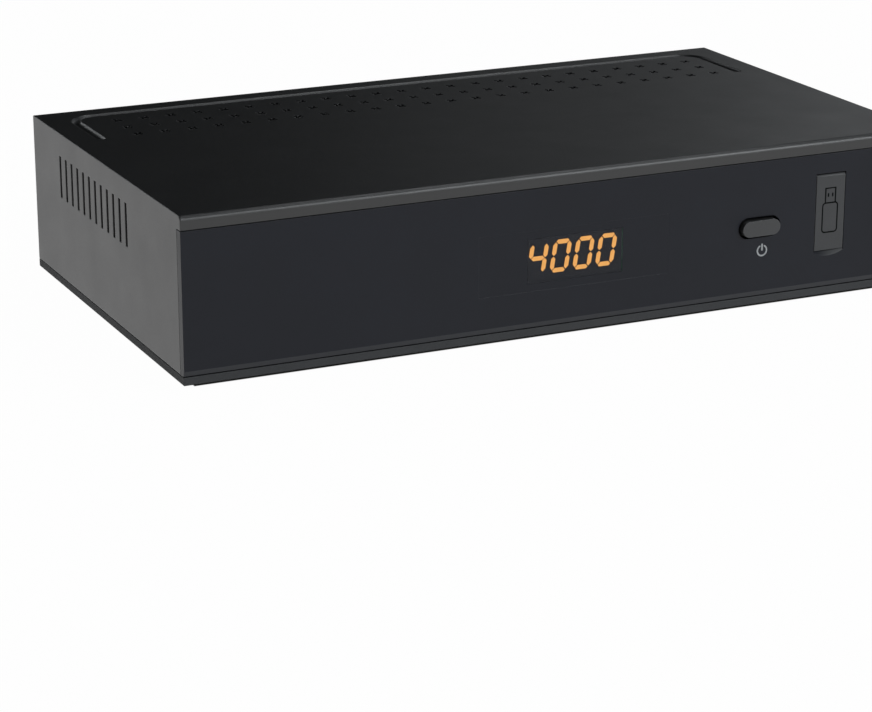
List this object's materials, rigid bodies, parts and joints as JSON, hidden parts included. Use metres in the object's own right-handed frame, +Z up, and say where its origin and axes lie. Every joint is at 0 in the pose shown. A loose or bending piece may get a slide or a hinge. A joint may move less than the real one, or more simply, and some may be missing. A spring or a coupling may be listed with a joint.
{
  "type": "satellite receiver",
  "caption": "Flat black set-top satellite receiver: vented top cover, dark front panel with a lit digit display, push button and hinged socket flap, rear panel with sockets, rubber feet.",
  "frame": {"origin": "middle of the whole object's footprint (sockets and button included), on the plane under the feet", "axes": "+X to the right as one faces the front panel, +Y from the front panel to the rear sockets, +Z up"},
  "size_m": [0.22, 0.1308, 0.0465],
  "materials": {
    "cover_plastic": "moulded black case plastic with a very fine matt texture",
    "base_plastic": "moulded black case plastic with a very fine matt texture",
    "panel_plastic": "smooth satin black plastic",
    "smoked_window": "smoked clear plastic, the panel's own colour when unlit",
    "button_plastic": "satin dark grey plastic",
    "flap_plastic": "satin dark grey plastic",
    "foot_rubber": "black self-adhesive rubber",
    "screw_steel": "zinc-plated steel",
    "component_plastic": "black moulding compound",
    "shell_steel": "plated sheet steel",
    "contact_plastic": "black contact carrier",
    "display_plastic": "black display face",
    "segment_light": "lit amber segment",
    "lens_plastic": "dark infrared-pass plastic",
    "board_laminate": "green solder mask",
    "sink_aluminium": "extruded aluminium",
    "capacitor_sleeve": "dark shrink sleeve",
    "ferrite": "dark grey ferrite",
    "reader_plastic": "black card carrier",
    "header_plastic": "ivory plug housing",
    "ribbon_plastic": "flat white cable",
    "tinned_steel": "tinned sheet steel",
    "nickel_plate": "nickel plating",
    "insulator_plastic": "white insulator",
    "socket_plastic": "black socket moulding",
    "gold_plate": "gold plating",
    "rear_paint": "fine black powder coat"
  },
  "bodies": {
    "case": {"top_cover": "cover_plastic", "bottom_case": "base_plastic", "front_panel": "panel_plastic", "display_window": "smoked_window", "foot_front_left": "foot_rubber", "foot_front_right": "foot_rubber", "foot_rear_left": "foot_rubber", "foot_rear_right": "foot_rubber", "case_screws": "screw_steel", "board_screws": "screw_steel", "front_board_screws": "screw_steel", "socket_screws": "screw_steel", "switch_body": "component_plastic", "front_socket": "shell_steel", "front_socket_tongue": "contact_plastic", "display_module": "display_plastic", "display_segments": "segment_light", "infrared_receiver": "lens_plastic", "front_board": "board_laminate", "main_board": "board_laminate", "main_chip": "component_plastic", "heat_sink": "sink_aluminium", "memory_chips": "component_plastic", "crystal": "shell_steel", "capacitors": "capacitor_sleeve", "inductors": "ferrite", "card_reader": "reader_plastic", "board_headers": "header_plastic", "ribbon_cable": "ribbon_plastic", "tuner_can": "tinned_steel", "tuner_lid": "tinned_steel", "lnb_in_socket": "nickel_plate", "lnb_out_socket": "nickel_plate", "lnb_inserts": "insulator_plastic", "lnb_nuts": "nickel_plate", "av_socket": "socket_plastic", "video_socket": "nickel_plate", "video_socket_tongue": "contact_plastic", "audio_socket": "socket_plastic", "audio_barrel": "gold_plate", "audio_insert": "insulator_plastic", "network_socket": "socket_plastic", "dc_jack": "socket_plastic", "dc_pin": "nickel_plate", "rear_panel": "rear_paint"},
    "power_button": {"power_button": "button_plastic", "switch_plunger": "component_plastic"},
    "socket_flap": {"socket_flap": "flap_plastic"}
  },
  "joints": [
    {"name": "power_button_push", "type": "slide", "parent": "case", "child": "power_button", "axis": [0, 1, 0], "range_m": [0, 0.0005], "stiffness_N_per_m": 400},
    {"name": "socket_flap_hinge", "type": "hinge", "parent": "case", "child": "socket_flap", "pos_m": [0.0806, -0.0629, 0.0355], "axis": [-1, 0, 0], "range_deg": [0, 95]}
  ]
}
